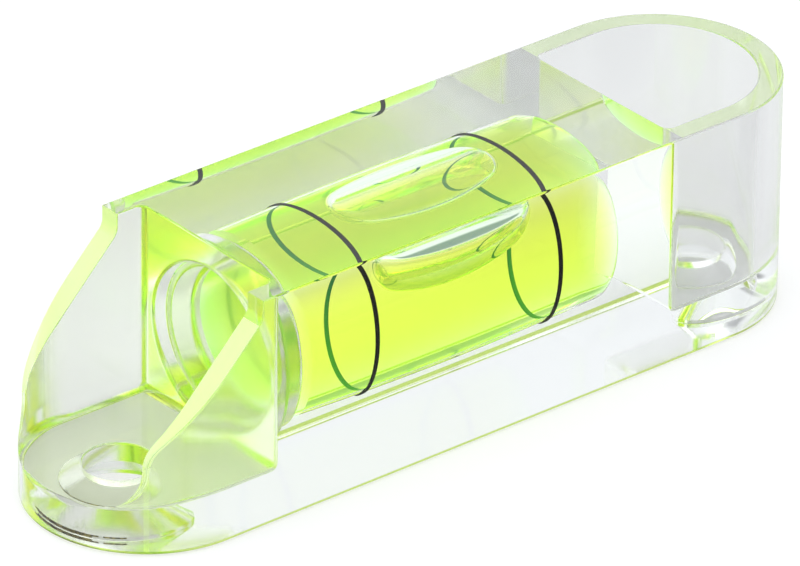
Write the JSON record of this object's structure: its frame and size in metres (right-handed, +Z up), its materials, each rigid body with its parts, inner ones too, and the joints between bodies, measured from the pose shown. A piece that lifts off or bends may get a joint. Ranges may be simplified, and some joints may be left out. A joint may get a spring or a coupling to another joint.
{
  "type": "mini spirit level",
  "caption": "Small clear block spirit level: a crowned bore of bright liquid with a long air bubble between ring lines, and feet with countersunk screw holes at both round ends.",
  "frame": {"origin": "centre of the flat bottom face, midway between the round ends", "axes": "+X along the length towards the closed end of the bore, +Y across the width, +Z up through the top face"},
  "size_m": [0.054, 0.015, 0.015],
  "materials": {
    "clear_acrylic": "clear, polished",
    "plug_acrylic": "clear, moulded",
    "level_liquid": "clear fluorescent yellow-green liquid",
    "bubble_air": "air, clear",
    "ring_ink": "matte black ink"
  },
  "bodies": {
    "block": {"body": "clear_acrylic", "end_plug": "plug_acrylic", "liquid": "level_liquid", "left_line": "ring_ink", "right_line": "ring_ink"},
    "bubble": {"air_bubble": "bubble_air"}
  },
  "joints": [
    {"name": "bubble_travel", "type": "hinge", "parent": "block", "child": "bubble", "pos_m": [0, 0, -0.23735], "axis": [0, 1, 0], "range_deg": [-1.3, 1.1], "stiffness_Nm_per_rad": 0.00034, "deforming": ["liquid"]}
  ]
}
